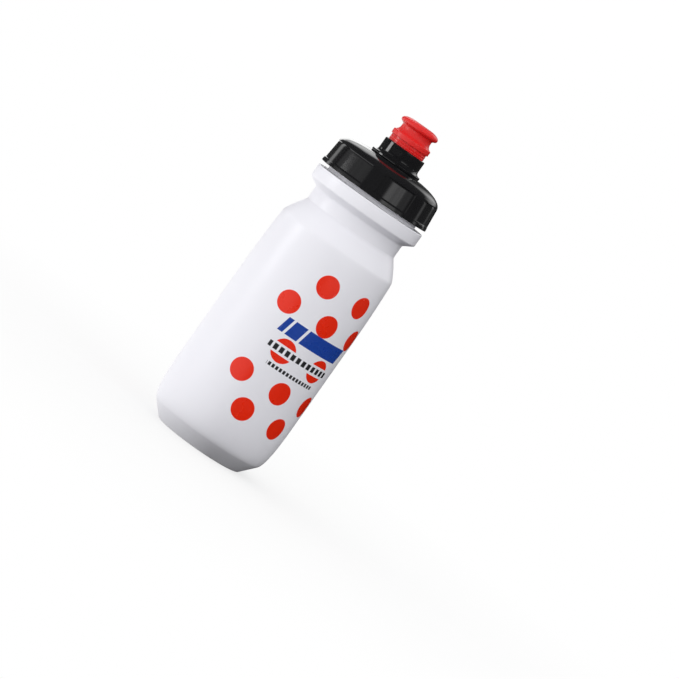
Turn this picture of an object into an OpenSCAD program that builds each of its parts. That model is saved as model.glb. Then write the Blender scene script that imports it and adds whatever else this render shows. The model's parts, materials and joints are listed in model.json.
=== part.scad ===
// Squeeze bottle for a bicycle cage, with a screw lid and a push-pull valve.
// Millimetres. The origin is the middle of the standing ring, +Z is up the bottle's axis.

/* [Body] */
// Diameter of the straight stretch that a bottle cage holds
body_d = 73; // [71:0.5:76]
// Height from the base to the foot of the waist
body_h = 142.5; // [130:0.5:190]
// Diameter of the standing ring's outer edge
base_d = 52; // [46:1:58]
// Height of the recess inside the standing ring
base_rise = 3; // [1.5:0.5:5]
// Thickness of the blown wall
wall = 1.1; // [0.8:0.1:1.6]

/* [Neck] */
// Diameter of the neck at the root of its thread
neck_d = 56.4; // [55.6:0.1:57]
// Diameter of the waist below the collar
waist_d = 56.2; // [54:0.2:57]
// Height of the waist
waist_h = 7.7; // [6:0.1:12]
// Diameter of the collar
collar_d = 67.4; // [64:0.2:69]
// Height of the collar's straight wall
collar_h = 7.5; // [5:0.5:10]
// Height of the neck above the collar
neck_h = 15.3; // [15:0.1:17]
// Bore of the neck
bore_d = 52.8; // [52.4:0.1:53.4]

/* [Thread] */
// Rise of the thread in one turn
pitch = 5; // [4.5:0.1:5.5]
// Turns that each thread makes
thread_turns = 1.5; // [1:0.25:1.5]
// How far each thread stands out of its wall
thread_depth = 1.1; // [0.8:0.1:1.1]

/* [Lid] */
// Diameter of the lid's rim
rim_d = 67.6; // [67:0.1:69]
// Gap between the collar and the lid
lid_gap = 2.5; // [2:0.1:3]
// Height of the lid's skirt, rim included
skirt_h = 12.8; // [12.5:0.1:13.5]
// Height of the dome above the skirt
dome_h = 7.1; // [7:0.1:9]
// Number of grip panels round the skirt
grips = 7; // [5:1:9]
// Depth of a grip panel below the ribs
grip_depth = 0.5; // [0.2:0.1:0.8]
// Direction of the first rib between two panels, from +X
rib_angle = -81; // [-180:1:180]

/* [Valve] */
// Outer diameter of the valve housing's tower
tower_d = 25; // [24.8:0.1:26]
// Height of the tower above the dome, foot included
tower_h = 10; // [9.6:0.1:12]
// Diameter of the housing's foot
foot_d = 30.4; // [30:0.1:32]
// Travel of the mouthpiece between open and closed
travel = 3.45; // [3:0.05:3.45]
// Diameter of the opening that the water leaves by
orifice_d = 6; // [5:0.1:7]

/* [Mouthpiece] */
// Diameter of the ring that is pushed down
ring_d = 23.5; // [23.1:0.1:24]
// Height of that ring
ring_h = 3; // [2.5:0.1:3.5]
// Diameter of the neck that is held by the teeth
bite_d = 18.6; // [18:0.1:20]
// Diameter of the lip
lip_d = 23; // [21:0.1:23.4]
// Height of the soft mouthpiece
mouth_h = 12.4; // [12:0.1:13]

/* [Hidden] */

smooth = 96;
thread_steps = 48;     // steps in one turn of a thread
eps = 0.02;
fit = 0.05;            // gap between pieces that sit still in each other
run = 0.3;             // gap between pieces that move past each other
seal_run = 0.05;       // gap beside a seal that slides

// Body and neck
body_r = body_d / 2;
base_r = base_d / 2;
waist_r = waist_d / 2;
collar_r = collar_d / 2;
neck_r = neck_d / 2;
bore_r = bore_d / 2;
ring_w = 4.6;          // width of the standing ring
flare_r = body_r - 3.1;
flare_h = 8.3;
straight_z0 = 35;      // the straight stretch begins here
crease = [body_r - 1.3, body_h - 12.1];    // edge between the body and the shoulder
straight_z1 = crease.y - 40.4;
waist_fillet = 1.6;
waist_angle = 38;      // of the shoulder's upper end from the axis
fillet_middle = [waist_r + waist_fillet, body_h];
fillet_start = fillet_middle - waist_fillet * [cos(waist_angle), sin(waist_angle)];
collar_z0 = body_h + waist_h;
collar_cone = 3.2;
collar_edge = 0.6;
collar_z1 = collar_z0 + collar_cone + collar_h;
neck_z = collar_z1 + neck_h;

// Threads: the lid's runs below the neck's and pushes up against it
thread_z = collar_z1 + 6.2;
thread_base = 2.2;
thread_crest = 1.1;
thread_drop = 2.3;
thread_foot = 0.5;     // depth that a thread is let into its wall

// Lid
rim_r = rim_d / 2;
rim_h = 2.4;
rib_r = rim_r - 0.4;
rib_draft = 0.095;     // how far the ribs lean in, per unit of height
rib_share = 2 / 7;     // of the way round, the rest being grip panels
lid_z0 = collar_z1 + lid_gap;
grip_z0 = lid_z0 + rim_h;
skirt_z1 = lid_z0 + skirt_h;
grip_z1 = skirt_z1 + 1.2;
dome_z = skirt_z1 + dome_h;
lid_bore_r = neck_r + thread_depth + run;
gasket_h = 1.7;
seat_z = neck_z + fit + gasket_h;
plug_r = bore_r - 1;
plug_wall = 1;
plug_drop = 3.5;
plate = 2;             // thickness of the lid under the housing's foot
hole_r = 13.5;

// Valve
tower_r = tower_d / 2;
foot_r = foot_d / 2;
foot_h = 1.6;
foot_fillet = foot_r - tower_r;
tower_z = dome_z + tower_h;
tube_r = tower_r - 1.1;          // bore of the tower
bead_r = tube_r - 0.22;          // bead that keeps the slider in
bead_h = 1;
spigot_r = hole_r - fit;
spigot_z = dome_z - 5;
ledge_r = 9.4;
ledge_h = 1.2;
snap_out = 0.6;
groove = 1;
seal_section = 1;

// Pin
spider_z = spigot_z + ledge_h;
spider_h = 1.5;
spider_w = 1.7;
spokes = 3;
hub_r = 3.2;
post_r = 2.4;
orifice_r = orifice_d / 2;
tip_r = orifice_r - 0.08;

// Slider and mouthpiece
slide_top = tower_z + travel + fit;      // underside of the mouthpiece's ring when it is open
skirt_z0 = spider_z + spider_h + travel + run;
skirt_r = tube_r - run;
keeper_r = tube_r - 0.1;
keeper_z = tower_z - bead_h - run;
slide_r = bead_r - 0.23;
ridge_r = bead_r - 0.08;
passage_r = 9.3;
stem_r = 8;
stem_bore_r = 6.4;
mouth_z = slide_top + mouth_h;
roof_z = mouth_z - 4.8;
slider_groove_r = 10.1;
slider_groove_h = 1.2;
slider_section = 1.2;
slider_seal_z = skirt_z0 + 2;
tip_z = roof_z - 0.7;
tip_h = 3;

// Points on an arc round c
function arc(c, r, from, to, steps) =
    [for (i = [0 : steps]) let (a = from + (to - from) * i / steps) c + r * [cos(a), sin(a)]];

// Points on a curve that leaves a towards b and reaches d from c, without a itself
function curve(a, b, c, d, steps) =
    [for (i = [1 : steps]) let (t = i / steps, s = 1 - t)
        s * s * s * a + 3 * s * s * t * b + 3 * s * t * t * c + t * t * t * d];

function unit(v) = v / norm(v);
function left_of(v) = [-v.y, v.x];

// An open outline moved to its left by t, with mitred corners
function inset(line, t) =
    [for (i = [0 : len(line) - 1])
        let (here = line[i],
             a = unit(i == 0 ? line[1] - here : here - line[i - 1]),
             b = unit(i == len(line) - 1 ? a : line[i + 1] - here),
             m = unit(left_of(a) + left_of(b)))
        here + m * t / (m * left_of(a))];

// Outside of the bottle, from the middle of the base to the top edge of the collar
function bottle_outline() = concat(
    [[0, base_rise], [base_r - ring_w - base_rise, base_rise], [base_r - ring_w, 0]],
    arc([base_r - 0.8, 0.8], 0.8, -90, -42, 2),
    [[flare_r, flare_h]],
    curve([flare_r, flare_h], [body_r - 1.3, flare_h + 2.4], [body_r, flare_h + 9.7],
          [body_r, straight_z0], 6),
    [[body_r, straight_z1]],
    curve([body_r, straight_z1], [body_r, straight_z1 + 18], crease + [0.8, -4.4], crease, 5),
    curve(crease, crease + [-1.6, 3.6], fillet_start + [2.5, -3.2], fillet_start, 5),
    arc(fillet_middle, waist_fillet, 180 + waist_angle / 2, 180, 2),
    [[waist_r, collar_z0],
     [collar_r - collar_edge, collar_z0 + collar_cone - collar_edge / 2],
     [collar_r, collar_z0 + collar_cone + collar_edge],
     [collar_r, collar_z1 - collar_edge],
     [collar_r - collar_edge, collar_z1]]);

// Helical rib: its foot is let into the wall at root, and both ends run out below the wall's face
module thread(root, crest, z) {
    steps = round(thread_steps * thread_turns);
    runout = 4;
    foot = root + sign(root - crest) * thread_foot;
    points = [for (i = [0 : steps])
        let (a = 360 * i / thread_steps,
             full = min(1, (i - 1) / runout, (steps - 1 - i) / runout),
             r = root + (crest - root) * full,
             mid = z + pitch * i / thread_steps)
        for (p = [[foot, -thread_base / 2], [r, -thread_crest / 2],
                  [r, thread_crest / 2], [foot, thread_base / 2]])
            [p.x * cos(a), p.x * sin(a), mid + p.y]];
    sides = [for (i = [0 : steps - 1], k = [0 : 3])
        let (a = 4 * i + k, b = 4 * i + (k + 1) % 4)
        each [[a, b, b + 4], [a, b + 4, a + 4]]];
    last = 4 * steps;
    ends = [[2, 1, 0], [3, 2, 0], [last, last + 1, last + 2], [last, last + 2, last + 3]];
    faces = concat(sides, ends);
    outward = crest > root;
    polyhedron(points, outward ? faces : [for (f = faces) [f[2], f[1], f[0]]], convexity = 6);
}

module bottle_body() {
    outside = bottle_outline();
    inside = inset(outside, wall);
    color("white") {
        rotate_extrude($fn = smooth)
            polygon(concat(outside,
                [[neck_r, collar_z1],
                 [neck_r, neck_z - 0.4],
                 [neck_r - 0.4, neck_z],
                 [bore_r, neck_z],
                 [bore_r, collar_z1 - wall]],
                [for (i = [len(inside) - 1 : -1 : 0]) inside[i]]));
        thread(neck_r, neck_r + thread_depth, thread_z);
    }
}

module lid_gasket() {
    color("gainsboro")
        translate([0, 0, neck_z + fit])
            difference() {
                cylinder(h = gasket_h, r = lid_bore_r - run, $fn = smooth);
                translate([0, 0, -eps])
                    cylinder(h = gasket_h + 2 * eps, r = plug_r + 0.2, $fn = smooth);
            }
}

module lid() {
    shoulder = [rib_r - rib_draft * (skirt_z1 - grip_z0), skirt_z1];
    panel_top = rib_r - grip_depth - rib_draft * (grip_z1 - grip_z0);
    panel_angle = 360 / grips * (1 - rib_share);
    crown = [foot_r, dome_z];
    color("#17171a") {
        difference() {
            rotate_extrude($fn = smooth)
                polygon(concat(
                    [[rim_r, lid_z0],
                     [rim_r, lid_z0 + rim_h - 0.9],
                     [rib_r, grip_z0],
                     shoulder],
                    curve(shoulder, shoulder + [-0.4, 4], crown + [10.8, -0.7], crown, 7),
                    [[hole_r, dome_z],
                     [hole_r, dome_z - plate],
                     [hole_r + 1, dome_z - plate],
                     [plug_r - plug_wall, seat_z + 1.9],
                     [plug_r - plug_wall, seat_z - plug_drop],
                     [plug_r - 0.4, seat_z - plug_drop],
                     [plug_r, seat_z - plug_drop + 1],
                     [plug_r, seat_z],
                     [lid_bore_r, seat_z],
                     [lid_bore_r, lid_z0 + 0.8],
                     [lid_bore_r + 0.8, lid_z0]]));
            for (k = [0 : grips - 1])
                rotate([0, 0, rib_angle + 360 * (k + 0.5) / grips - panel_angle / 2])
                    rotate_extrude(angle = panel_angle, $fn = smooth)
                        polygon([[rib_r - grip_depth, grip_z0],
                                 [rim_r + 2, grip_z0],
                                 [rim_r + 2, grip_z1],
                                 [panel_top, grip_z1]]);
        }
        thread(lid_bore_r, neck_r + run, thread_z - thread_drop);
    }
}

module valve_housing() {
    color("#141416")
        rotate_extrude($fn = smooth)
            polygon(concat(
                [[ledge_r, spigot_z],
                 [spigot_r - 0.4, spigot_z],
                 [spigot_r, spigot_z + 0.4],
                 [spigot_r, dome_z - plate - 1.4],
                 [spigot_r + snap_out, dome_z - plate - 0.4],
                 [spigot_r, dome_z - plate - 0.1],
                 [spigot_r, dome_z + groove],
                 [hole_r + groove, dome_z + groove],
                 [hole_r + groove, dome_z],
                 [foot_r, dome_z]],
                arc([foot_r, dome_z + foot_h + foot_fillet], foot_fillet, 270, 180, 6),
                arc([tower_r - 0.4, tower_z - 0.4], 0.4, 0, 90, 3),
                [[bead_r, tower_z],
                 [bead_r, tower_z - bead_h],
                 [tube_r, tower_z - bead_h - 0.2],
                 [tube_r, spider_z],
                 [ledge_r, spider_z]]));
}

module housing_seal() {
    color("#303034")
        translate([0, 0, dome_z + seal_section / 2])
            rotate_extrude($fn = smooth)
                translate([hole_r + seal_section / 2, 0])
                    circle(d = seal_section - fit, $fn = 32);
}

module valve_pin() {
    color("#1d1d20") {
        translate([0, 0, spider_z])
            difference() {
                cylinder(h = spider_h, r = tube_r - 0.1, $fn = smooth);
                translate([0, 0, -eps])
                    cylinder(h = spider_h + 2 * eps, r = ledge_r + 0.2, $fn = smooth);
            }
        for (k = [0 : spokes - 1])
            rotate([0, 0, 360 * k / spokes])
                translate([0, -spider_w / 2, spider_z])
                    cube([ledge_r + 0.6, spider_w, spider_h]);
        rotate_extrude($fn = smooth)
            polygon(concat(
                [[0, spider_z],
                 [hub_r, spider_z],
                 [hub_r, spider_z + spider_h],
                 [post_r, spider_z + 2 * spider_h],
                 [post_r, tip_z - tip_h],
                 [tip_r, tip_z - tip_h + 0.6],
                 [tip_r, tip_z - 1]],
                arc([tip_r - 1, tip_z - 1], 1, 30, 90, 3),
                [[0, tip_z]]));
    }
}

module mouthpiece_core() {
    ridge = 0.25;
    groove_z = slider_seal_z - slider_groove_h / 2;
    color("#c81418")
        rotate_extrude($fn = smooth)
            polygon(concat(
                [[passage_r, skirt_z0],
                 [skirt_r - 0.3, skirt_z0],
                 [skirt_r, skirt_z0 + 0.3],
                 [skirt_r, groove_z],
                 [slider_groove_r, groove_z],
                 [slider_groove_r, groove_z + slider_groove_h],
                 [skirt_r, groove_z + slider_groove_h],
                 [skirt_r, keeper_z - 1.4],
                 [keeper_r, keeper_z - 1.2],
                 [keeper_r, keeper_z],
                 [slide_r, keeper_z]],
                [for (z = [tower_z + 0.8, tower_z + 2], p = [[slide_r, -ridge], [ridge_r, -ridge / 2],
                     [ridge_r, ridge / 2], [slide_r, ridge]]) [p.x, z + p.y]],
                [[slide_r, slide_top],
                 [stem_r, slide_top],
                 [stem_r, roof_z],
                 [stem_bore_r, roof_z],
                 [stem_bore_r, slide_top + 0.6],
                 [passage_r, slide_top - 1.6]]));
}

module slider_seal() {
    color("#303034")
        translate([0, 0, slider_seal_z])
            rotate_extrude($fn = smooth)
                translate([tube_r - seal_run - slider_section / 2, 0])
                    circle(d = slider_section - fit, $fn = 32);
}

module mouthpiece() {
    ring_r = ring_d / 2;
    bite_r = bite_d / 2;
    lip_r = lip_d / 2;
    neck_z0 = slide_top + ring_h;
    bite = [bite_r, neck_z0 + 3.2];
    lip = [lip_r, mouth_z - 2.8];
    crown = [orifice_r + 0.7, mouth_z - 0.1];
    color("#dc1e1e")
        rotate_extrude($fn = smooth)
            polygon(concat(
                [[stem_r, slide_top],
                 [ring_r - 0.3, slide_top],
                 [ring_r, slide_top + 0.4],
                 [ring_r, neck_z0 - 0.5],
                 [ring_r - 0.4, neck_z0]],
                curve([ring_r - 0.4, neck_z0], [bite_r + 0.6, neck_z0 + 0.9],
                      bite - [0, 1.6], bite, 4),
                [bite + [0, 1.1]],
                curve(bite + [0, 1.1], bite + [0, 2.1], lip - [0, 1.6], lip, 5),
                curve(lip, lip + [0, 1.6], crown + [3.6, 0.3], crown, 6),
                [[orifice_r, mouth_z - 0.8],
                 [orifice_r, roof_z],
                 [stem_r, roof_z]]));
}

bottle_body();
lid_gasket();
lid();
valve_housing();
housing_seal();
valve_pin();
mouthpiece_core();
slider_seal();
mouthpiece();
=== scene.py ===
import json
import math

import bpy
from mathutils import Matrix, Vector

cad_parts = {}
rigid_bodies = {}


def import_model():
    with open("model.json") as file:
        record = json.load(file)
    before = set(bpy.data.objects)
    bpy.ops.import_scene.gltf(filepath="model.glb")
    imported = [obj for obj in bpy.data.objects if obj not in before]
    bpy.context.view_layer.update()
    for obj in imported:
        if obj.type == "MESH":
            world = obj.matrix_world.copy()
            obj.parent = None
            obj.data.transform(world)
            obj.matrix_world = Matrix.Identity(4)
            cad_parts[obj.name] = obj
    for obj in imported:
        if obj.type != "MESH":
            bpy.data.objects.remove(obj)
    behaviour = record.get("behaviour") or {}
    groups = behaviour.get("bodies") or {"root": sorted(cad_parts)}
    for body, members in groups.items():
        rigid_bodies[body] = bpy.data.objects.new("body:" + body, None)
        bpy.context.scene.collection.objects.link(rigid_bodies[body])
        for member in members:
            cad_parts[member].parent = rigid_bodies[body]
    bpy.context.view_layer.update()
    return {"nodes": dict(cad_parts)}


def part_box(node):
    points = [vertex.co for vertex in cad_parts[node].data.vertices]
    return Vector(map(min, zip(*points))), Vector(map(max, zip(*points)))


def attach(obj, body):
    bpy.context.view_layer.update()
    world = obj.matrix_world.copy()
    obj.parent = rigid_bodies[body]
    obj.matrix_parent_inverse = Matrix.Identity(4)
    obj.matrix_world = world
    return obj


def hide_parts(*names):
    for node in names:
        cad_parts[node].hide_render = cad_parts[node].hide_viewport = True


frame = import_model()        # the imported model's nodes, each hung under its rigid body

mm = 0.001               # outlines are in millimetres, Blender is in metres

# Heights and radii that the pieces share, in millimetres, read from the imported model
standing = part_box("bottle_body")[0].z / mm
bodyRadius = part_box("bottle_body")[1].x / mm
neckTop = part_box("bottle_body")[1].z / mm
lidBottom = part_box("lid")[0].z / mm
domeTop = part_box("lid")[1].z / mm
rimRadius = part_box("lid")[1].x / mm
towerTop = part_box("valve_housing")[1].z / mm
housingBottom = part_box("valve_housing")[0].z / mm
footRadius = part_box("valve_housing")[1].x / mm
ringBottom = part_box("mouthpiece")[0].z / mm
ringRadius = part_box("mouthpiece")[1].x / mm
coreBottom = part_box("mouthpiece_core")[0].z / mm
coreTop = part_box("mouthpiece_core")[1].z / mm
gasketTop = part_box("lid_gasket")[1].z / mm

# Both screw threads, in millimetres and degrees
threadShape = {
    "pitch": 5,
    "stepsPerTurn": 96,
    "crestHalf": 0.55,       # half the thread's height at its crest
    "rootHalf": 1.1,         # and at its root
    "runOut": 28,            # angle over which each end fades
    "buried": 0.2,           # how deep a faded end sinks
    "foot": 0.5,             # how far the root reaches into the wall
}
print("frame loaded:", len(frame["nodes"]), "nodes")


def pickNothing():
    bpy.ops.object.select_all(action="DESELECT")


def editPicked(piece, kind, picked):
    # edit mode, with just these vertices or faces picked
    bpy.context.view_layer.objects.active = piece
    bpy.ops.object.mode_set(mode="EDIT")
    bpy.ops.mesh.select_mode(type=kind)
    bpy.ops.mesh.select_all(action="DESELECT")
    bpy.ops.object.mode_set(mode="OBJECT")
    for item in piece.data.vertices if kind == "VERT" else piece.data.polygons:
        item.select = item.index in picked
    bpy.ops.object.mode_set(mode="EDIT")


def roundOff(corners, turnPerStep=11):
    # each corner is radius, height and the fillet that softens it
    line = []
    for i, (radius, height, fillet) in enumerate(corners):
        here = Vector((radius, height))
        if not fillet or i in (0, len(corners) - 1):
            line.append(here)
            continue
        back = (Vector(corners[i - 1][:2]) - here).normalized()
        ahead = (Vector(corners[i + 1][:2]) - here).normalized()
        half = back.angle(ahead) / 2
        middle = here + (back + ahead).normalized() * fillet / math.sin(half)
        start = here + back * fillet / math.tan(half) - middle
        sweep = start.angle_signed(here + ahead * fillet / math.tan(half) - middle)
        steps = max(2, math.ceil(math.degrees(abs(sweep)) / turnPerStep))
        for k in range(steps + 1):
            spot = start.copy()
            spot.rotate(Matrix.Rotation(-sweep * k / steps, 2))
            line.append(middle + spot)
    return line


def sweepCurve(a, b, c, d, steps):
    # leaves a towards b and reaches d from c
    a, b, c, d = map(Vector, (a, b, c, d))
    line = []
    for i in range(steps + 1):
        t = i / steps
        s = 1 - t
        line.append(s * s * s * a + 3 * s * s * t * b + 3 * s * t * t * c + t * t * t * d)
    return line


def spaceOut(line, longest):
    # adds points on long stretches, so that shading stays even
    out = [line[0]]
    for a, b in zip(line, line[1:]):
        parts = max(1, math.ceil((b - a).length / longest))
        out += [a.lerp(b, (k + 1) / parts) for k in range(parts)]
    return out


def innerLine(line, thickness):
    # the same line one wall's thickness to its left
    out = []
    for i, here in enumerate(line):
        a = (here - line[i - 1]).normalized() if i else (line[1] - here).normalized()
        b = (line[i + 1] - here).normalized() if i < len(line) - 1 else a
        left = Vector((-a.y, a.x)) + Vector((-b.y, b.x))
        left.normalize()
        out.append(here + left * thickness / left.dot(Vector((-a.y, a.x))))
    return out


def tidyLine(line, closest=0.02):
    out = [line[0]]
    for spot in line[1:]:
        if (spot - out[-1]).length > closest:
            out.append(spot)
    return out


def turnPiece(name, line, sides, filled=False, looped=False, turned=0):
    # a circle, extruded and scaled from ring to ring up the outline
    pickNothing()
    line = tidyLine(line)
    radius, height = line[0]
    bpy.ops.mesh.primitive_circle_add(
        vertices=sides, radius=radius * mm, location=(0, 0, height * mm),
        rotation=(0, 0, math.radians(turned)), fill_type="TRIFAN" if filled else "NOTHING")
    piece = bpy.context.object
    piece.name = name
    bpy.ops.object.mode_set(mode="EDIT")
    bpy.ops.mesh.select_mode(type="EDGE")
    bpy.ops.mesh.select_all(action="SELECT")
    if filled:
        bpy.ops.mesh.region_to_loop()
    for nextRadius, nextHeight in line[1:] + (line[:1] if looped else []):
        rise = (0, 0, (nextHeight - height) * mm)
        ratio = nextRadius / radius
        bpy.ops.mesh.extrude_edges_move(TRANSFORM_OT_translate={"value": rise})
        bpy.ops.transform.resize(value=(ratio, ratio, 1), center_override=(0, 0, 0))
        radius, height = nextRadius, nextHeight
        if not radius:
            break
    bpy.ops.mesh.select_all(action="SELECT")
    bpy.ops.mesh.remove_doubles(threshold=0.002 * mm)
    bpy.ops.mesh.normals_make_consistent(inside=False)
    bpy.ops.object.mode_set(mode="OBJECT")
    return piece


def settle(piece, smoothAngle=38):
    # place goes into the mesh, shading follows the shape
    pickNothing()
    piece.select_set(True)
    bpy.context.view_layer.objects.active = piece
    bpy.ops.object.transform_apply(location=True, rotation=True, scale=True)
    bpy.ops.object.shade_smooth_by_angle(angle=math.radians(smoothAngle))


def fit(piece, body, slot, material, *nodes):
    piece.data.materials.clear()
    piece.data.materials.append(material)
    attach(piece, body)
    if nodes:
        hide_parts(*nodes)


def helixThread(name, rootRadius, crestRadius, startHeight, turns, foot):
    # a small square is stood up, tapered to the thread's section and screwed round the neck
    pickNothing()
    pitch = threadShape["pitch"]
    bpy.ops.mesh.primitive_plane_add(size=1, rotation=(math.pi / 2, 0, 0))
    piece = bpy.context.object
    piece.name = name
    bpy.ops.object.transform_apply(location=True, rotation=True, scale=True)
    outward = crestRadius > rootRadius
    for v in piece.data.vertices:
        atCrest = (v.co.x > 0) == outward
        halfHeight = threadShape["crestHalf" if atCrest else "rootHalf"]
        reach = crestRadius if atCrest else rootRadius - foot
        v.co = Vector((reach, 0, math.copysign(halfHeight, v.co.z))) * mm
    screw = piece.modifiers.new("Thread", "SCREW")
    screw.angle = 2 * math.pi * turns
    screw.screw_offset = pitch * turns * mm
    screw.steps = screw.render_steps = round(threadShape["stepsPerTurn"] * turns)
    bpy.ops.object.modifier_apply(modifier=screw.name)
    for v in piece.data.vertices:
        angle = math.degrees(math.atan2(v.co.y, v.co.x)) % 360
        level = v.co.z / mm
        wound = angle + 360 * round((level / pitch * 360 - angle) / 360)
        ends = min(wound, 360 * turns - wound) / threadShape["runOut"]
        reach = math.hypot(v.co.x, v.co.y)
        if abs(reach - crestRadius * mm) < 0.2 * mm and ends < 1:
            buried = rootRadius - math.copysign(threadShape["buried"], 1 if outward else -1)
            wanted = (buried + (crestRadius - buried) * math.sin(max(0, ends) * math.pi / 2)) * mm
            v.co.x *= wanted / reach
            v.co.y *= wanted / reach
        v.co.z += startHeight * mm
    bpy.ops.object.mode_set(mode="EDIT")
    bpy.ops.mesh.select_all(action="DESELECT")
    bpy.ops.mesh.select_mode(type="EDGE")
    bpy.ops.mesh.select_non_manifold()
    bpy.ops.mesh.edge_face_add()
    bpy.ops.mesh.select_all(action="SELECT")
    bpy.ops.mesh.normals_make_consistent(inside=False)
    bpy.ops.object.mode_set(mode="OBJECT")
    return piece


def fuse(piece, extra):
    union = piece.modifiers.new("Fuse", "BOOLEAN")
    union.operation = "UNION"
    union.solver = "EXACT"
    union.object = extra
    pickNothing()
    piece.select_set(True)
    bpy.context.view_layer.objects.active = piece
    bpy.ops.object.modifier_apply(modifier=union.name)
    bpy.data.objects.remove(extra)
    bpy.ops.object.mode_set(mode="EDIT")
    bpy.ops.mesh.select_all(action="SELECT")
    bpy.ops.mesh.remove_doubles(threshold=0.004 * mm)
    bpy.ops.mesh.normals_make_consistent(inside=False)
    bpy.ops.object.mode_set(mode="OBJECT")


def newMaterial(name):
    material = bpy.data.materials.new(name)
    material.use_nodes = True
    tree = material.node_tree
    return material, tree, tree.nodes["Principled BSDF"]


def calc(tree, operation, *values):
    node = tree.nodes.new("ShaderNodeMath")
    node.operation = operation
    for socket, value in zip(node.inputs, values):
        if isinstance(value, (int, float)):
            socket.default_value = value
        else:
            tree.links.new(value, socket)
    return node.outputs[0]


def remap(tree, value, low, high, toLow, toHigh):
    node = tree.nodes.new("ShaderNodeMapRange")
    tree.links.new(value, node.inputs["Value"])
    for key, number in (("From Min", low), ("From Max", high), ("To Min", toLow), ("To Max", toHigh)):
        node.inputs[key].default_value = number
    return node.outputs["Result"]


def objectSpot(tree):
    return tree.nodes.new("ShaderNodeTexCoord").outputs["Object"]


def noise(tree, scale, detail=3, roughness=0.5, stretch=(1, 1, 1)):
    mapping = tree.nodes.new("ShaderNodeMapping")
    mapping.inputs["Scale"].default_value = stretch
    tree.links.new(objectSpot(tree), mapping.inputs["Vector"])
    node = tree.nodes.new("ShaderNodeTexNoise")
    node.inputs["Scale"].default_value = scale
    node.inputs["Detail"].default_value = detail
    node.inputs["Roughness"].default_value = roughness
    tree.links.new(mapping.outputs["Vector"], node.inputs["Vector"])
    return node.outputs["Fac"]


def bumpFrom(tree, height, strength, distance, under=None):
    node = tree.nodes.new("ShaderNodeBump")
    node.inputs["Strength"].default_value = strength
    node.inputs["Distance"].default_value = distance
    tree.links.new(height, node.inputs["Height"])
    if under:
        tree.links.new(under, node.inputs["Normal"])
    return node.outputs["Normal"]


def mixColour(tree, share, first, second):
    node = tree.nodes.new("ShaderNodeMix")
    node.data_type = "RGBA"
    if isinstance(share, float):
        node.inputs["Factor"].default_value = share
    else:
        tree.links.new(share, node.inputs["Factor"])
    for socket, colour in ((node.inputs["A"], first), (node.inputs["B"], second)):
        if isinstance(colour, tuple):
            socket.default_value = (*colour, 1)
        else:
            tree.links.new(colour, socket)
    return node.outputs["Result"]


# Bottle shell: blown polyethylene. Outline sizes are in millimetres.
shellShape = {
    "sides": 192,
    "wall": 1.1,
    "standOuter": 26.0,      # outer edge of the standing ring
    "standInner": 21.4,
    "recess": 3.0,
    "flareTop": (33.4, 8.3),
    "straight": (35.0, 90.0),
    "crease": (35.2, 130.4),
    "waistRadius": 28.1,
    "waist": (142.5, 150.2),
    "collarRadius": 33.7,
    "collar": (153.5, 160.9),
    "neckRadius": 28.2,
    "neckBore": 26.4,
    "threadStart": 167.1,
    "threadTurns": 1.5,
    "threadDepth": 1.1,
}


def shellOutline(shape):
    foot = roundOff([
        (0.6, shape["recess"], 0),
        (shape["standInner"] - shape["recess"], shape["recess"], 1.6),
        (shape["standInner"], standing, 0.7),
        (shape["standOuter"], standing, 1.0),
        (*shape["flareTop"], 0)])
    flareHeight = shape["flareTop"][1]
    low, high = shape["straight"]
    creaseRadius, creaseHeight = shape["crease"]
    waistRadius = shape["waistRadius"]
    waistLow, waistHigh = shape["waist"]
    belly = sweepCurve(shape["flareTop"], (bodyRadius - 1.3, flareHeight + 2.4),
                       (bodyRadius, flareHeight + 9.7), (bodyRadius, low), 14)
    draw = sweepCurve((bodyRadius, high), (bodyRadius, high + 18),
                      (creaseRadius + 0.62, creaseHeight - 4.4), (creaseRadius, creaseHeight), 12)
    shoulder = sweepCurve((creaseRadius - 0.32, creaseHeight + 0.75),
                          (creaseRadius - 1.7, creaseHeight + 3.7),
                          (waistRadius + 2.9, waistLow - 4.2),
                          (waistRadius + 0.55, waistLow - 1.1), 10)
    collarLow, collarHigh = shape["collar"]
    neck = roundOff([
        (*shoulder[-1], 0),
        (waistRadius, waistLow, 1.4),
        (waistRadius, waistHigh, 1.6),
        (shape["collarRadius"], collarLow, 1.1),
        (shape["collarRadius"], collarHigh, 0.55),
        (shape["neckRadius"], collarHigh, 0.4),
        (shape["neckRadius"], neckTop, 0.4),
        (shape["neckBore"], neckTop, 0.4),
        (shape["neckBore"], collarHigh - shape["wall"], 0)])
    outside = tidyLine(spaceOut(foot + belly[1:] + draw + shoulder + neck[1:-1], 4))
    turnAt = next(i for i, (radius, height) in enumerate(outside)
                  if height > collarHigh - 0.01 and radius < shape["collarRadius"] - 1)
    inside = innerLine(outside[:turnAt], shape["wall"])
    inside.reverse()
    return outside + spaceOut([neck[-1]] + inside, 4) + [Vector((0, inside[-1].y))]


def makeShell(shape):
    shell = turnPiece("bottleShell", shellOutline(shape), shape["sides"], filled=True)
    settle(shell)
    thread = helixThread("neckThread", shape["neckRadius"], shape["neckRadius"] + shape["threadDepth"],
                         shape["threadStart"], shape["threadTurns"], threadShape["foot"])
    fuse(shell, thread)
    settle(shell)
    return shell


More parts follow.
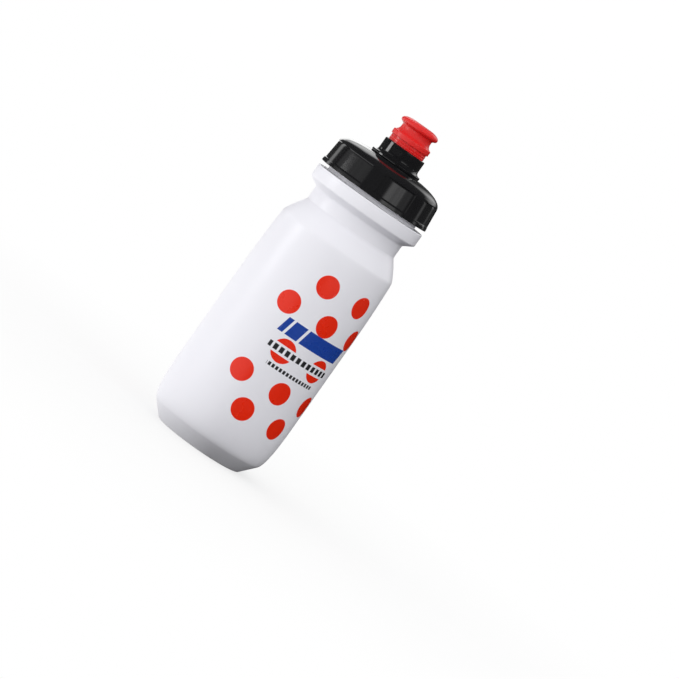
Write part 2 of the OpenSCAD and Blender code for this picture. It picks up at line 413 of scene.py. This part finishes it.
# Ink on the body, in millimetres round and up it. Both flat sides of the bottle carry it.
printShape = {
    "dotRadius": 6.45,
    "bandDotRadius": 6.9,
    "columnAngle": 20,
    "pairRows": (111.1, 69.9, 32.5),      # two dots, one column off the middle
    "tripleRows": (93.2, 49.8),           # three dots, two columns apart
    "bandHeight": 5.8,                    # bare band through the middle dots
    "bars": ((-21.5, 3.2), (-16.8, 7.6), (-7.6, 31.0)),    # start and length
    "barBottom": 77.9,
    "barTop": 86.9,
    "slant": 0.24,
    "dashLines": ((69.9, 3.3, 1.9, 22.0), (60.6, 2.1, 1.2, 17.0)),    # height, thickness, half pitch, reach
}


def inkMask(tree, distance, edge=0.1):
    # 1 where distance is below zero, with a soft edge
    return remap(tree, distance, edge, -edge, 0, 1)


def bodyMaterial(name, shape):
    material, tree, shader = newMaterial(name)
    split = tree.nodes.new("ShaderNodeSeparateXYZ")
    tree.links.new(objectSpot(tree), split.inputs["Vector"])
    x, y, z = split.outputs
    turned = calc(tree, "MULTIPLY", calc(tree, "MULTIPLY", x, -1), calc(tree, "SIGN", y))
    angle = calc(tree, "ARCTAN2", turned, calc(tree, "ABSOLUTE", y))
    across = calc(tree, "MULTIPLY", angle, bodyRadius)
    up = calc(tree, "DIVIDE", z, mm)
    side = calc(tree, "ABSOLUTE", across)
    column = math.radians(shape["columnAngle"]) * bodyRadius
    fromPair = calc(tree, "ABSOLUTE", calc(tree, "SUBTRACT", side, column))
    fromOuter = calc(tree, "ABSOLUTE", calc(tree, "SUBTRACT", side, 2 * column))
    fromTriple = calc(tree, "MINIMUM", side, fromOuter)

    def dotMask(sideways, height, radius):
        rise = calc(tree, "SUBTRACT", up, height)
        squared = calc(tree, "ADD", calc(tree, "MULTIPLY", sideways, sideways),
                       calc(tree, "MULTIPLY", rise, rise))
        return inkMask(tree, calc(tree, "SUBTRACT", calc(tree, "SQRT", squared), radius))

    bandMiddle = shape["pairRows"][1]
    offBand = calc(tree, "ABSOLUTE", calc(tree, "SUBTRACT", up, bandMiddle))
    outsideBand = inkMask(tree, calc(tree, "SUBTRACT", shape["bandHeight"] / 2, offBand))
    dots = calc(tree, "MULTIPLY", dotMask(fromPair, bandMiddle, shape["bandDotRadius"]), outsideBand)
    for height in (shape["pairRows"][0], shape["pairRows"][2]):
        dots = calc(tree, "MAXIMUM", dots, dotMask(fromPair, height, shape["dotRadius"]))
    for height in shape["tripleRows"]:
        dots = calc(tree, "MAXIMUM", dots, dotMask(fromTriple, height, shape["dotRadius"]))

    def boxMask(sideways, middle, half, height, halfHeight):
        offSide = calc(tree, "ABSOLUTE", calc(tree, "SUBTRACT", sideways, middle))
        offTop = calc(tree, "ABSOLUTE", calc(tree, "SUBTRACT", up, height))
        overSide = calc(tree, "SUBTRACT", offSide, half)
        overTop = calc(tree, "SUBTRACT", offTop, halfHeight)
        return inkMask(tree, calc(tree, "MAXIMUM", overSide, overTop))

    barMiddle = (shape["barBottom"] + shape["barTop"]) / 2
    lean = calc(tree, "MULTIPLY", calc(tree, "SUBTRACT", up, barMiddle), shape["slant"])
    leaning = calc(tree, "SUBTRACT", across, lean)
    bars = 0.0
    for start, length in shape["bars"]:
        bar = boxMask(leaning, start + length / 2, length / 2, barMiddle,
                      (shape["barTop"] - shape["barBottom"]) / 2)
        bars = calc(tree, "MAXIMUM", bars, bar)

    dashes = 0.0
    for height, thickness, pitch, reach in shape["dashLines"]:
        wave = calc(tree, "PINGPONG", calc(tree, "ADD", across, 200), pitch)
        dash = boxMask(wave, 0, pitch * 0.66, height, thickness / 2)
        ends = inkMask(tree, calc(tree, "SUBTRACT", side, reach))
        dashes = calc(tree, "MAXIMUM", dashes, calc(tree, "MULTIPLY", dash, ends))

    # a blown wall varies a little in thickness, and its tint with it
    cloud = noise(tree, 22, detail=2)
    plastic = mixColour(tree, cloud, (0.815, 0.810, 0.865), (0.84, 0.835, 0.885))
    inkSpeck = noise(tree, 900, detail=2)
    red = mixColour(tree, inkSpeck, (0.78, 0.016, 0.001), (0.84, 0.024, 0.002))
    blue = mixColour(tree, inkSpeck, (0.008, 0.045, 0.30), (0.012, 0.060, 0.36))
    black = mixColour(tree, inkSpeck, (0.012, 0.012, 0.014), (0.025, 0.025, 0.028))
    colour = mixColour(tree, dots, plastic, red)
    colour = mixColour(tree, bars, colour, blue)
    colour = mixColour(tree, dashes, colour, black)
    tree.links.new(colour, shader.inputs["Base Color"])
    ink = calc(tree, "MAXIMUM", calc(tree, "MAXIMUM", dots, bars), dashes)
    haze = remap(tree, noise(tree, 70, detail=4), 0.3, 0.7, 0.30, 0.38)
    inkGloss = calc(tree, "MULTIPLY", ink, 0.06)
    tree.links.new(calc(tree, "SUBTRACT", haze, inkGloss), shader.inputs["Roughness"])
    ripple = bumpFrom(tree, noise(tree, 45, detail=1, stretch=(1, 1, 0.35)), 0.4, 0.00005)
    grain = bumpFrom(tree, noise(tree, 1400, detail=2), 0.25, 0.000012, ripple)
    edge = bumpFrom(tree, ink, 0.6, 0.00002, grain)
    tree.links.new(edge, shader.inputs["Normal"])
    shader.inputs["IOR"].default_value = 1.51
    shader.inputs["Subsurface Weight"].default_value = 0.12
    shader.inputs["Subsurface Radius"].default_value = (1.0, 0.95, 0.95)
    shader.inputs["Subsurface Scale"].default_value = 0.002
    return material


bottleShell = makeShell(shellShape)
fit(bottleShell, "bottle", "body_white", bodyMaterial("printedPolyethylene", printShape), "bottle_body")
print("bottle shell made")


# Lid: polished black cap with seven grip panels
lidShape = {
    "panels": 7,
    "columnsPerPanel": 28,
    "panelColumns": 20,        # the rest of them make a rib
    "firstRib": -81,           # direction of one rib from +X, in degrees
    "panelDepth": 0.5,
    "panelEdge": 0.3,          # width of the slope round a panel
    "panelTop": 177.4,
    "panelsBeyond": 31,        # faces nearer the axis than this are left alone
    "softEdge": 0.1,
    "rimHeight": 2.4,
    "ribFoot": 33.4,
    "ribDraft": 0.095,
    "skirtTop": 176.2,
    "hole": 13.5,
    "plate": 2.0,
    "plugRadius": 25.4,
    "plugWall": 1.0,
    "plugDrop": 3.5,
    "bore": 29.6,
    "threadCrest": 28.5,
    "threadDrop": 2.3,
}


def lidOutline(shape):
    rimTop = lidBottom + shape["rimHeight"]
    ribTop = shape["ribFoot"] - shape["ribDraft"] * (shape["skirtTop"] - rimTop)
    rim = roundOff([
        (shape["bore"] + 0.8, lidBottom, 0),
        (rimRadius, lidBottom, 0.25),
        (rimRadius - 0.22, rimTop - 0.5, 0.3),
        (shape["ribFoot"], rimTop, 0)])
    skirt = [Vector((shape["ribFoot"] - shape["ribDraft"] * rise, rimTop + rise))
             for rise in (0.15, 2, 4, 6, 8, 9.6)]
    corner = Vector((ribTop, shape["skirtTop"]))
    dome = sweepCurve(corner, corner + Vector((-0.4, 4)), (footRadius + 10.8, domeTop - 0.7),
                      (footRadius - 0.4, domeTop), 26)
    seat = gasketTop
    underside = roundOff([
        (*dome[-1], 0),
        (shape["hole"], domeTop, 0.2),
        (shape["hole"], domeTop - shape["plate"], 0.2),
        (shape["hole"] + 1, domeTop - shape["plate"], 0.5),
        (shape["plugRadius"] - shape["plugWall"], seat + 1.9, 0.5),
        (shape["plugRadius"] - shape["plugWall"], seat - shape["plugDrop"], 0.2),
        (shape["plugRadius"] - 0.4, seat - shape["plugDrop"], 0.2),
        (shape["plugRadius"], seat - shape["plugDrop"] + 1, 0.3),
        (shape["plugRadius"], seat, 0.2),
        (shape["bore"], seat, 0.3),
        (shape["bore"], lidBottom + 0.8, 0.3),
        (shape["bore"] + 0.8, lidBottom, 0)])
    level = next(i for i, spot in enumerate(dome) if spot.y > shape["panelTop"])
    dome.insert(level, dome[level - 1].lerp(dome[level], (shape["panelTop"] - dome[level - 1].y)
                                            / (dome[level].y - dome[level - 1].y)))
    return rim + skirt + dome + underside[1:-1]


def pressPanels(lid, shape):
    # the panels' faces are inset and sunk, and their outlines get a small bevel
    low = (lidBottom + shape["rimHeight"] + 0.1) * mm
    high = shape["panelTop"] * mm
    period = 360 / shape["panels"]
    half = period * shape["panelColumns"] / shape["columnsPerPanel"] / 2
    sunk = set()
    for face in lid.data.polygons:
        direction = math.degrees(math.atan2(face.center.y, face.center.x))
        off = (direction - shape["firstRib"]) % period - period / 2
        outside = face.center.x ** 2 + face.center.y ** 2 > (shape["panelsBeyond"] * mm) ** 2
        if abs(off) < half and low < face.center.z < high and outside:
            sunk.add(face.index)
    editPicked(lid, "FACE", sunk)
    bpy.ops.mesh.inset(thickness=shape["panelEdge"] * mm, depth=-shape["panelDepth"] * mm,
                       use_even_offset=True)
    bpy.ops.mesh.select_more()
    bpy.ops.mesh.region_to_loop()
    bpy.ops.mesh.bevel(offset=shape["softEdge"] * mm, segments=2, profile=0.6, clamp_overlap=True)
    bpy.ops.object.mode_set(mode="OBJECT")


def makeLid(shape):
    sides = shape["panels"] * shape["columnsPerPanel"]
    lid = turnPiece("lidCap", lidOutline(shape), sides, looped=True, turned=shape["firstRib"])
    settle(lid)
    pressPanels(lid, shape)
    thread = helixThread("lidThread", shape["bore"], shape["threadCrest"],
                         shellShape["threadStart"] - shape["threadDrop"], shellShape["threadTurns"],
                         -threadShape["foot"])
    fuse(lid, thread)
    settle(lid, 32)
    even = lid.modifiers.new("Even", "WEIGHTED_NORMAL")
    even.keep_sharp = True
    bpy.ops.object.modifier_apply(modifier=even.name)
    return lid


def blackMaterial(name, tint, roughness, swirl):
    material, tree, shader = newMaterial(name)
    cloud = noise(tree, 60, detail=2)
    deep = (tint * 0.8, tint * 0.8, tint * 0.9)
    pale = (tint * 1.2, tint * 1.2, tint * 1.3)
    colour = mixColour(tree, cloud, deep, pale)
    tree.links.new(colour, shader.inputs["Base Color"])
    haze = remap(tree, noise(tree, 140, detail=5), 0.3, 0.7, roughness * 0.8, roughness * 1.25)
    tree.links.new(haze, shader.inputs["Roughness"])
    sink = bumpFrom(tree, noise(tree, 55, detail=1), 0.5, swirl)
    grain = bumpFrom(tree, noise(tree, 1600, detail=2), 0.15, 0.000006, sink)
    tree.links.new(grain, shader.inputs["Normal"])
    shader.inputs["IOR"].default_value = 1.5
    return material


lidCap = makeLid(lidShape)
fit(lidCap, "lid", "lid_black", blackMaterial("polishedLid", 0.009, 0.11, 0.00006), "lid")
print("lid made")


# Valve housing: tower with a flared foot
housingShape = {
    "sides": 128,
    "towerRadius": 12.5,
    "footHeight": 1.6,
    "bore": 11.4,
    "beadRadius": 11.18,
    "ledgeRadius": 9.4,
    "spigotRadius": 13.45,
    "snap": 0.6,
    "groove": 1.0,
    "plate": 2.0,
}


def makeHousing(shape):
    tower = shape["towerRadius"]
    plateUnder = domeTop - shape["plate"]
    flare = footRadius - tower
    line = roundOff([
        (shape["ledgeRadius"], housingBottom, 0),
        (shape["spigotRadius"], housingBottom, 0.4),
        (shape["spigotRadius"], plateUnder - 1.4, 0.2),
        (shape["spigotRadius"] + shape["snap"], plateUnder - 0.4, 0.1),
        (shape["spigotRadius"], plateUnder - 0.1, 0),
        (shape["spigotRadius"], domeTop + shape["groove"], 0),
        (shape["spigotRadius"] + shape["groove"], domeTop + shape["groove"], 0),
        (shape["spigotRadius"] + shape["groove"], domeTop, 0),
        (footRadius - 0.25, domeTop + 0.02, 0.1),
        (footRadius, domeTop + 0.5, 0.25),
        (footRadius, domeTop + shape["footHeight"], 0.35),
        (tower, domeTop + shape["footHeight"] + flare * 0.12, flare * 0.8),
        (tower, towerTop, 0.45),
        (shape["beadRadius"], towerTop, 0.25),
        (shape["beadRadius"], towerTop - 1.0, 0),
        (shape["bore"], towerTop - 1.2, 0),
        (shape["bore"], housingBottom + 1.2, 0),
        (shape["ledgeRadius"], housingBottom + 1.2, 0)], turnPerStep=8)
    housing = turnPiece("valveTower", spaceOut(line, 1.5), shape["sides"], looped=True)
    settle(housing)
    return housing


valveTower = makeHousing(housingShape)
fit(valveTower, "lid", "housing_black", blackMaterial("polishedTower", 0.008, 0.07, 0.00003),
    "valve_housing")
print("valve housing made")


# Slider: the hard tube under the soft mouthpiece
sliderShape = {
    "sides": 128,
    "skirt": 11.1,
    "keeper": 11.3,
    "keeperTop": 192.0,
    "neck": 10.95,
    "ridge": 11.1,
    "ridges": (194.1, 195.3),
    "ridgeHalf": 0.3,
    "passage": 9.3,
    "stem": 8.0,
    "stemBore": 6.4,
    "groove": (10.1, 186.15, 187.35),
}


def makeSlider(shape):
    grooveRadius, grooveLow, grooveHigh = shape["groove"]
    corners = [
        (shape["passage"], coreBottom, 0),
        (shape["skirt"], coreBottom, 0.3),
        (shape["skirt"], grooveLow, 0),
        (grooveRadius, grooveLow, 0),
        (grooveRadius, grooveHigh, 0),
        (shape["skirt"], grooveHigh, 0),
        (shape["skirt"], shape["keeperTop"] - 1.4, 0),
        (shape["keeper"], shape["keeperTop"] - 1.2, 0),
        (shape["keeper"], shape["keeperTop"], 0),
        (shape["neck"], shape["keeperTop"], 0)]
    for middle in shape["ridges"]:
        half = shape["ridgeHalf"]
        corners += [(shape["neck"], middle - half, 0.12), (shape["ridge"], middle - half * 0.4, 0.1),
                    (shape["ridge"], middle + half * 0.4, 0.1), (shape["neck"], middle + half, 0.12)]
    corners += [
        (shape["neck"], ringBottom, 0),
        (shape["stem"], ringBottom, 0),
        (shape["stem"], coreTop, 0),
        (shape["stemBore"], coreTop, 0.3),
        (shape["stemBore"], ringBottom + 0.6, 0.5),
        (shape["passage"], ringBottom - 1.6, 0.8)]
    slider = turnPiece("sliderTube", spaceOut(roundOff(corners), 1.5), shape["sides"], looped=True)
    settle(slider)
    return slider


# Mouthpiece: push ring, bite neck and lip
mouthShape = {
    "sides": 128,
    "ringHeight": 3.0,
    "ringTopRadius": 11.3,
    "biteRadius": 9.3,
    "biteHeight": (6.2, 7.3),      # above the ring's underside
    "lipRadius": 11.5,
    "lipHeight": 9.6,
    "height": 12.4,
    "opening": 3.0,
    "stem": 8.0,
}


def makeMouthpiece(shape):
    base = ringBottom
    top = base + shape["height"]
    ringTop = base + shape["ringHeight"]
    biteLow, biteHigh = (base + h for h in shape["biteHeight"])
    bite, lip = shape["biteRadius"], shape["lipRadius"]
    lipLevel = base + shape["lipHeight"]
    ring = roundOff([
        (shape["stem"], base, 0),
        (ringRadius - 0.05, base, 0.35),
        (ringRadius, ringTop - 0.15, 0.5),
        (shape["ringTopRadius"] - 0.35, ringTop + 0.2, 0)])
    waist = sweepCurve(ring[-1], (bite + 0.75, ringTop + 0.75), (bite, biteLow - 1.7), (bite, biteLow), 10)
    flare = sweepCurve((bite, biteHigh), (bite, biteHigh + 1.0), (lip, lipLevel - 1.7), (lip, lipLevel), 10)
    crown = sweepCurve((lip, lipLevel), (lip, lipLevel + 1.9), (shape["opening"] + 5.0, top + 0.15),
                       (shape["opening"] + 0.9, top - 0.1), 14)
    mouth = roundOff([
        (*crown[-1], 0),
        (shape["opening"], top - 0.25, 0.35),
        (shape["opening"], coreTop, 0),
        (shape["stem"], coreTop, 0),
        (shape["stem"], base, 0)])
    line = ring + waist[1:] + flare + crown[1:] + mouth[1:-1]
    cap = turnPiece("mouthCap", spaceOut(line, 1.2), shape["sides"], looped=True)
    settle(cap)
    return cap


def redMaterial(name, dark, light, roughness, grainSize):
    material, tree, shader = newMaterial(name)
    colour = mixColour(tree, noise(tree, 160, detail=3), dark, light)
    tree.links.new(colour, shader.inputs["Base Color"])
    haze = remap(tree, noise(tree, 260, detail=4), 0.3, 0.7, roughness * 0.85, roughness * 1.2)
    tree.links.new(haze, shader.inputs["Roughness"])
    grain = bumpFrom(tree, noise(tree, 2600, detail=2), 0.3, grainSize)
    tree.links.new(grain, shader.inputs["Normal"])
    shader.inputs["IOR"].default_value = 1.47
    shader.inputs["Subsurface Weight"].default_value = 0.15
    shader.inputs["Subsurface Radius"].default_value = (1.0, 0.25, 0.2)
    shader.inputs["Subsurface Scale"].default_value = 0.0012
    return material


sliderTube = makeSlider(sliderShape)
fit(sliderTube, "mouthpiece", "core_red",
    redMaterial("hardRed", (0.66, 0.012, 0.012), (0.74, 0.020, 0.018), 0.26, 0.000005), "mouthpiece_core")
mouthCap = makeMouthpiece(mouthShape)
fit(mouthCap, "mouthpiece", "mouthpiece_red",
    redMaterial("softRed", (0.70, 0.014, 0.014), (0.78, 0.022, 0.020), 0.36, 0.000012), "mouthpiece")
print("slider and mouthpiece made")


def rubberMaterial(name, tint):
    material, tree, shader = newMaterial(name)
    dark = tuple(c * 0.8 for c in tint)
    colour = mixColour(tree, noise(tree, 300, detail=3), dark, tint)
    tree.links.new(colour, shader.inputs["Base Color"])
    haze = remap(tree, noise(tree, 500, detail=3), 0.3, 0.7, 0.5, 0.7)
    tree.links.new(haze, shader.inputs["Roughness"])
    grain = bumpFrom(tree, noise(tree, 3000, detail=2), 0.3, 0.00001)
    tree.links.new(grain, shader.inputs["Normal"])
    return material


def refinish(node, material):
    piece = frame["nodes"][node]
    for slot in piece.material_slots:
        slot.material = material


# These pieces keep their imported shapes
sealRubber = rubberMaterial("sealRubber", (0.045, 0.045, 0.05))
refinish("housing_seal", sealRubber)
refinish("slider_seal", sealRubber)
refinish("lid_gasket", rubberMaterial("gasketRubber", (0.72, 0.72, 0.70)))
refinish("valve_pin", blackMaterial("pinPlastic", 0.02, 0.3, 0.00002))
print("inner pieces finished")


viewShape = {
    "facing": -34.3,        # the side turned to the camera, from -Y towards +X
    "distance": 2.097,      # camera to the bottle's axis, along the ground
    "height": 0.228,
    "pitch": 3.77,
    "aside": 0.0296,        # the camera looks this far right of the axis
    "roll": 35.2,
    "lens": 207.8,
}


def facingWay(degreesRight):
    # level direction from the bottle, this far right of the side turned to the camera
    azimuth = math.radians(viewShape["facing"] + degreesRight)
    return Vector((math.sin(azimuth), -math.cos(azimuth), 0))


def lightFrom(degreesRight, elevation):
    rise = math.radians(elevation)
    return facingWay(degreesRight) * math.cos(rise) + Vector((0, 0, math.sin(rise)))


def makeCamera(shape):
    toCamera = facingWay(0)
    right = facingWay(90)
    data = bpy.data.cameras.new("productCamera")
    data.lens = shape["lens"]
    data.sensor_width = 36
    data.clip_start = 0.05
    data.clip_end = 20
    camera = bpy.data.objects.new("productCamera", data)
    bpy.context.scene.collection.objects.link(camera)
    pitch = math.radians(shape["pitch"])
    backward = toCamera * math.cos(pitch) + Vector((0, 0, math.sin(pitch)))
    upward = backward.cross(right)
    roll = math.radians(shape["roll"])
    sideAxis = right * math.cos(roll) + upward * math.sin(roll)
    topAxis = upward * math.cos(roll) - right * math.sin(roll)
    turned = Matrix((sideAxis, topAxis, backward)).transposed().to_4x4()
    spot = toCamera * shape["distance"] + right * shape["aside"] + Vector((0, 0, shape["height"]))
    camera.matrix_world = Matrix.Translation(spot) @ turned
    bpy.context.scene.camera = camera


def softbox(name, degreesRight, distance, height, size, power, mirrored, aim=0.14):
    data = bpy.data.lights.new(name, "AREA")
    data.shape = "RECTANGLE"
    data.size, data.size_y = size
    data.energy = power
    lamp = bpy.data.objects.new(name, data)
    bpy.context.scene.collection.objects.link(lamp)
    lamp.visible_glossy = mirrored
    spot = facingWay(degreesRight) * distance + Vector((0, 0, height))
    way = spot - Vector((0, 0, aim))
    lamp.matrix_world = Matrix.Translation(spot) @ way.to_track_quat("Z", "Y").to_matrix().to_4x4()


def makeWorld(shape):
    # seen directly the room is white; matt surfaces get a soft overhead light, and gloss
    # reflects a dim room with a few pale windows
    world = bpy.data.worlds.new("studio")
    bpy.context.scene.world = world
    world.use_nodes = True
    tree = world.node_tree
    background = tree.nodes["Background"]
    spot = tree.nodes.new("ShaderNodeTexCoord").outputs["Generated"]

    def share(way):
        dot = tree.nodes.new("ShaderNodeVectorMath")
        dot.operation = "DOT_PRODUCT"
        tree.links.new(spot, dot.inputs[0])
        dot.inputs[1].default_value = way
        return dot.outputs["Value"]

    overhead = share(lightFrom(*shape["overhead"]))
    low, level, high = shape["ambient"]
    soft = calc(tree, "ADD", remap(tree, overhead, -0.8, 0, low - level, 0),
                remap(tree, overhead, 0, 1, level, high))
    around = calc(tree, "DEGREES", calc(tree, "ARCTAN2", share(facingWay(90)), share(facingWay(0))))
    above = calc(tree, "DEGREES", calc(tree, "ARCSINE", share((0, 0, 1))))
    streaks = tree.nodes.new("ShaderNodeTexNoise")
    streaks.inputs["Scale"].default_value = shape["streakScale"]
    streaks.inputs["Detail"].default_value = 2
    tree.links.new(spot, streaks.inputs["Vector"])
    streak = remap(tree, streaks.outputs["Fac"], 0.3, 0.7, *shape["streaks"])
    room = shape["room"]
    for left, right, bottom, top, edge, strength in shape["windows"]:
        sideways = calc(tree, "ABSOLUTE", calc(tree, "SUBTRACT", around, (left + right) / 2))
        upwards = calc(tree, "ABSOLUTE", calc(tree, "SUBTRACT", above, (bottom + top) / 2))
        outside = calc(tree, "MAXIMUM", calc(tree, "SUBTRACT", sideways, (right - left) / 2),
                       calc(tree, "SUBTRACT", upwards, (top - bottom) / 2))
        room = calc(tree, "MAXIMUM", room, remap(tree, outside, edge, -edge, 0, strength))
    room = calc(tree, "MULTIPLY", room, streak)
    rays = tree.nodes.new("ShaderNodeLightPath").outputs
    glossy = rays["Is Glossy Ray"]
    matt = calc(tree, "SUBTRACT", 1, glossy)
    strength = calc(tree, "ADD", calc(tree, "MULTIPLY", glossy, room), calc(tree, "MULTIPLY", matt, soft))
    strength = calc(tree, "MAXIMUM", strength, rays["Is Camera Ray"])
    tree.links.new(strength, background.inputs["Strength"])
    background.inputs["Color"].default_value = (1, 1, 1, 1)


floorShape = {
    "radius": 6,                     # metres, like all sizes here
    "sides": 96,
    "fadeReach": (0.04, 0.4),        # from the bottle's axis outwards
    "whiteness": (0.7, 1.0),         # near the bottle some shadow is left
    # painted bounce light: how far and how strongly the floor glows onto the bottle, brighter on its left
    "paintedBounceReach": (-0.01, 0.05),    # from right to left
    "paintedBounceGlow": (0.0, 1.0),
}


def makeFloor(shape):
    pickNothing()
    bpy.ops.mesh.primitive_circle_add(vertices=shape["sides"], radius=shape["radius"],
                                      fill_type="NGON", location=(0, 0, 0))
    floor = bpy.context.object
    floor.name = "paleFloor"
    material, tree, shader = newMaterial("palePaper")
    grain = noise(tree, 30, detail=2)
    paper = mixColour(tree, grain, (0.80, 0.80, 0.80), (0.84, 0.84, 0.84))
    tree.links.new(paper, shader.inputs["Base Color"])
    shader.inputs["Roughness"].default_value = 0.9
    shader.inputs["Specular IOR Level"].default_value = 0.0
    glow = tree.nodes.new("ShaderNodeEmission")
    length = tree.nodes.new("ShaderNodeVectorMath")
    length.operation = "LENGTH"
    tree.links.new(objectSpot(tree), length.inputs[0])
    whiteness = remap(tree, length.outputs["Value"], *shape["fadeReach"], *shape["whiteness"])
    seenShader = tree.nodes.new("ShaderNodeMixShader")
    tree.links.new(whiteness, seenShader.inputs["Fac"])
    tree.links.new(shader.outputs["BSDF"], seenShader.inputs[1])
    tree.links.new(glow.outputs["Emission"], seenShader.inputs[2])
    # painted bounce light: for everything but the camera the floor is a glowing sheet, though it is no
    # lamp, and the glow it throws on the bottle falls off from left to right
    leftward = tree.nodes.new("ShaderNodeVectorMath")
    leftward.operation = "DOT_PRODUCT"
    tree.links.new(objectSpot(tree), leftward.inputs[0])
    leftward.inputs[1].default_value = facingWay(-90)
    paintedBounceGlow = tree.nodes.new("ShaderNodeEmission")
    paintedGlowStrength = remap(tree, leftward.outputs["Value"], *shape["paintedBounceReach"], *shape["paintedBounceGlow"])
    tree.links.new(paintedGlowStrength, paintedBounceGlow.inputs["Strength"])
    blend = tree.nodes.new("ShaderNodeMixShader")
    tree.links.new(tree.nodes.new("ShaderNodeLightPath").outputs["Is Camera Ray"], blend.inputs["Fac"])
    tree.links.new(paintedBounceGlow.outputs["Emission"], blend.inputs[1])
    tree.links.new(seenShader.outputs["Shader"], blend.inputs[2])
    tree.links.new(blend.outputs["Shader"], tree.nodes["Material Output"].inputs["Surface"])
    floor.data.materials.append(material)


studioShape = {
    "overhead": (-90, 54.8),         # soft light: degrees right of the facing side, elevation
    "ambient": (0.22, 1.00, 1.10),   # from below, from the side, from above
    "room": 0.05,
    "streakScale": 9,
    "streaks": (0.75, 1.25),
    "windows": (                     # left, right, bottom, top, soft edge, strength, in degrees
        (125, 172, 16, 38, 5, 1.1),
        (-178, -160, 18, 45, 4, 1.4),
        (-179, -163, 3, 16, 2, 1.8),
        (-129, -118, 2, 20, 2, 1.8),
        (-101, -31, 3, 18, 2, 0.42),
        (17, 49, 3, 16, 2, 1.3),
        (49, 66, 3, 18, 2, 0.4),
        (100, 108, 3, 18, 2, 0.8),
        (138, 144, 3, 18, 1.5, 1.0)),
    "lamps": (                       # name, degrees right, distance, height, size, power, mirrored
        ("leftStrobe", -77, 1.1, 0.17, (0.34, 0.2), 1.3, True),
        ("frontFill", 38, 1.5, 0.3, (0.8, 0.8), 6.8, False)),
}

makeCamera(viewShape)
makeWorld(studioShape)
makeFloor(floorShape)
for lamp in studioShape["lamps"]:
    softbox(*lamp)
bpy.context.scene.view_settings.view_transform = "Standard"
print("stage set")
